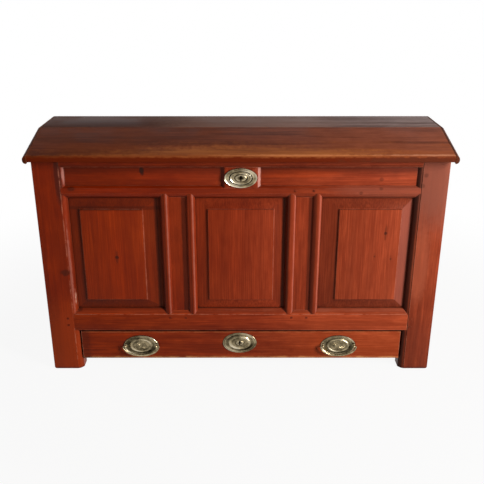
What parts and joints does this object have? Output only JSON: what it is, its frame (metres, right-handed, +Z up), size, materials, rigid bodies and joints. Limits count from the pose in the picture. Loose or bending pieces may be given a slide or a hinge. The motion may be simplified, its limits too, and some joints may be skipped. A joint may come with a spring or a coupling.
{
  "type": "blanket chest",
  "caption": "Joined pine blanket chest with fielded front panels, a canted hinged lid with a box lock, and a long drawer below with oval brass plates and drop bail handles.",
  "frame": {"origin": "on the floor, under the centre of the object's bounding box", "axes": "+X to the right along the front, +Y from the front to the back, +Z up"},
  "size_m": [1.1256, 0.4766, 0.6878],
  "materials": {
    "red_wood": "worn red-brown shellac on pine, satin",
    "lid_wood": "worn brown shellac on pine, polished by use",
    "plain_wood": "bare planed pine, aged",
    "brass": "stamped sheet and cast brass, tarnished",
    "iron": "dark wrought iron"
  },
  "bodies": {
    "carcass": {"left_front_post": "red_wood", "left_back_post": "red_wood", "left_muntin": "red_wood", "left_frieze_panel": "red_wood", "left_front_panel": "red_wood", "left_end_top_rail": "red_wood", "left_end_bottom_rail": "red_wood", "left_end_panel": "red_wood", "left_drawer_runner": "plain_wood", "left_lower_hinge_leaf": "iron", "right_front_post": "red_wood", "right_back_post": "red_wood", "right_muntin": "red_wood", "right_frieze_panel": "red_wood", "right_front_panel": "red_wood", "right_end_top_rail": "red_wood", "right_end_bottom_rail": "red_wood", "right_end_panel": "red_wood", "right_drawer_runner": "plain_wood", "right_lower_hinge_leaf": "iron", "front_top_rail": "red_wood", "front_middle_rail": "red_wood", "front_bottom_rail": "red_wood", "lock_block": "red_wood", "centre_front_panel": "red_wood", "back_top_rail": "red_wood", "back_bottom_rail": "red_wood", "back_panel": "plain_wood", "chest_floor_board": "plain_wood", "chest_lock_case": "iron", "chest_escutcheon": "brass"},
    "lid": {"lid_front_board": "lid_wood", "lid_top_board": "lid_wood", "lid_back_board": "lid_wood", "left_lid_end": "lid_wood", "right_lid_end": "lid_wood", "left_lid_moulding": "lid_wood", "right_lid_moulding": "lid_wood", "left_upper_hinge_leaf": "iron", "right_upper_hinge_leaf": "iron", "left_hinge_pin": "iron", "right_hinge_pin": "iron", "lock_keep": "iron"},
    "drawer": {"drawer_front": "red_wood", "left_drawer_side": "plain_wood", "right_drawer_side": "plain_wood", "drawer_back": "plain_wood", "drawer_bottom": "plain_wood", "left_pull_plate": "brass", "right_pull_plate": "brass", "left_pull_left_post": "brass", "left_pull_right_post": "brass", "right_pull_left_post": "brass", "right_pull_right_post": "brass", "drawer_escutcheon": "brass", "drawer_lock_case": "iron"},
    "left_bail": {"left_bail": "brass"},
    "right_bail": {"right_bail": "brass"},
    "chest_lock_bolt": {"chest_lock_bolt": "iron"},
    "drawer_lock_bolt": {"drawer_lock_bolt": "iron"}
  },
  "joints": [
    {"name": "lid_hinge", "type": "hinge", "parent": "carcass", "child": "lid", "pos_m": [0, 0.2343, 0.63637], "axis": [-1, 0, 0], "range_deg": [0, 100]},
    {"name": "drawer_slide", "type": "slide", "parent": "carcass", "child": "drawer", "axis": [0, -1, 0], "range_m": [0, 0.3]},
    {"name": "left_bail_hinge", "type": "hinge", "parent": "drawer", "child": "left_bail", "pos_m": [-0.291, -0.21536, 0.07675], "axis": [-1, 0, 0], "range_deg": [-8, 95]},
    {"name": "right_bail_hinge", "type": "hinge", "parent": "drawer", "child": "right_bail", "pos_m": [0.284, -0.21536, 0.07675], "axis": [-1, 0, 0], "range_deg": [-8, 95]},
    {"name": "chest_lock_slide", "type": "slide", "parent": "carcass", "child": "chest_lock_bolt", "axis": [1, 0, 0], "range_m": [0, 0.016]},
    {"name": "drawer_lock_slide", "type": "slide", "parent": "drawer", "child": "drawer_lock_bolt", "axis": [0, 0, 1], "range_m": [0, 0.01]}
  ]
}
